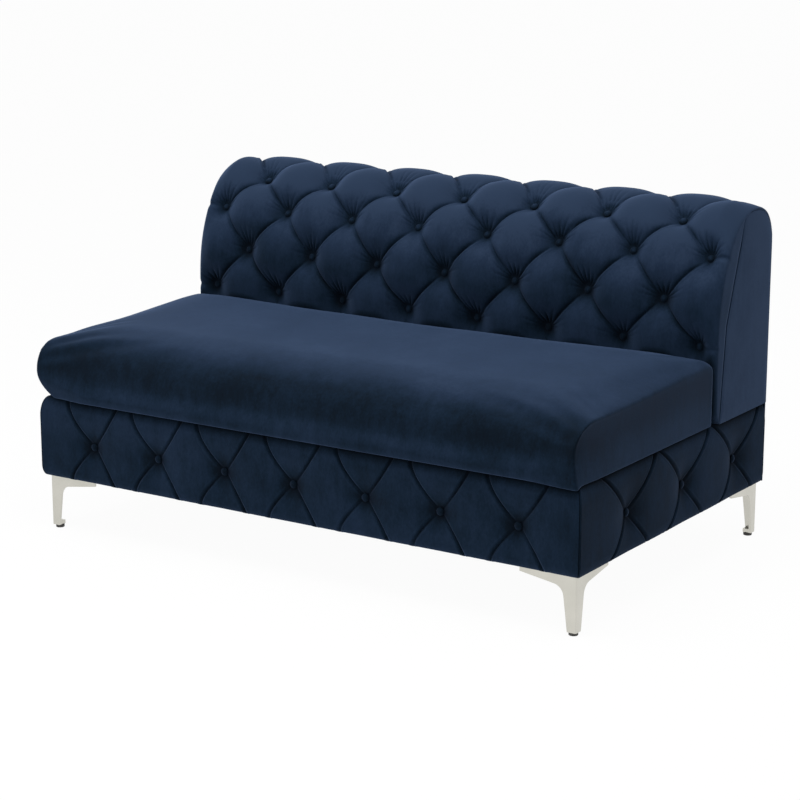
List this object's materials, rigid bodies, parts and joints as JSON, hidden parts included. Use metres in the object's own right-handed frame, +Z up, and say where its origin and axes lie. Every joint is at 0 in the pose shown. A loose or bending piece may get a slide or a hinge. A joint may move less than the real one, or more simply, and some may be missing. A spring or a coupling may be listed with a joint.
{
  "type": "armless loveseat",
  "caption": "Armless loveseat with a deep-buttoned rolled back, a loose bench cushion, a buttoned base and angle legs on glides.",
  "frame": {"origin": "on the floor, under the middle of the overall box", "axes": "+X to the sitter's left, which is the picture's right; +Y to the back; +Z up; the front faces -Y"},
  "size_m": [1.5016, 0.937, 0.8383],
  "materials": {
    "velvet": "short-pile navy velvet over foam",
    "button_velvet": "navy velvet stretched over a button",
    "foam": "open-cell foam",
    "deck_cloth": "woven deck cloth over thin padding",
    "dust_cloth": "spun-bonded cloth",
    "zip_tape": "woven tape with a nylon coil",
    "zip_metal": "nickel plated",
    "leg_metal": "satin nickel plate",
    "glide_plastic": "moulded",
    "steel": "zinc plated",
    "frame_wood": "sawn softwood and plywood"
  },
  "bodies": {
    "frame": {"back_bottom_rail": "frame_wood", "back_buttons_row_1": "button_velvet", "back_buttons_row_2": "button_velvet", "back_buttons_row_3": "button_velvet", "back_buttons_row_4": "button_velvet", "back_centre_rib": "frame_wood", "back_left_bracket": "steel", "back_left_panel": "velvet", "back_left_rib": "frame_wood", "back_lower_board": "frame_wood", "back_outer_panel": "velvet", "back_pad": "velvet", "back_right_bracket": "steel", "back_right_panel": "velvet", "back_right_rib": "frame_wood", "back_top_rail": "frame_wood", "back_upper_board": "frame_wood", "base_front_buttons": "button_velvet", "base_front_panel": "velvet", "base_left_buttons": "button_velvet", "base_left_panel": "velvet", "base_rear_panel": "velvet", "base_right_buttons": "button_velvet", "base_right_panel": "velvet", "bracket_screws": "steel", "centre_stretcher": "frame_wood", "corner_blocks": "frame_wood", "dust_cover": "dust_cloth", "front_rail": "frame_wood", "left_rail": "frame_wood", "leg_front_left": "leg_metal", "leg_front_right": "leg_metal", "leg_rear_left": "leg_metal", "leg_rear_right": "leg_metal", "leg_screws": "steel", "rear_rail": "frame_wood", "right_rail": "frame_wood", "seat_deck": "deck_cloth", "seat_springs": "steel", "spring_clips": "steel", "spring_rail": "frame_wood"},
    "seat_cushion": {"cushion_core": "foam", "cushion_top_panel": "velvet", "cushion_bottom_panel": "velvet", "cushion_left_gusset": "velvet", "cushion_right_gusset": "velvet", "cushion_back_boxing": "velvet", "zip_tape": "zip_tape"},
    "zip_slider": {"zip_slider": "zip_metal"},
    "glide_front_right": {"glide_front_right": "glide_plastic"},
    "glide_front_left": {"glide_front_left": "glide_plastic"},
    "glide_rear_right": {"glide_rear_right": "glide_plastic"},
    "glide_rear_left": {"glide_rear_left": "glide_plastic"}
  },
  "joints": [
    {"name": "cushion_lift", "type": "slide", "parent": "frame", "child": "seat_cushion", "axis": [0, 0, 1], "range_m": [0, 0.52]},
    {"name": "zip_slide", "type": "slide", "parent": "seat_cushion", "child": "zip_slider", "axis": [-1, 0, 0], "range_m": [0, 1.226]},
    {"name": "glide_front_right_screw", "type": "slide", "parent": "frame", "child": "glide_front_right", "axis": [0, 0, -1], "range_m": [0, 0.006]},
    {"name": "glide_front_left_screw", "type": "slide", "parent": "frame", "child": "glide_front_left", "axis": [0, 0, -1], "range_m": [0, 0.006]},
    {"name": "glide_rear_right_screw", "type": "slide", "parent": "frame", "child": "glide_rear_right", "axis": [0, 0, -1], "range_m": [0, 0.006]},
    {"name": "glide_rear_left_screw", "type": "slide", "parent": "frame", "child": "glide_rear_left", "axis": [0, 0, -1], "range_m": [0, 0.006]}
  ]
}
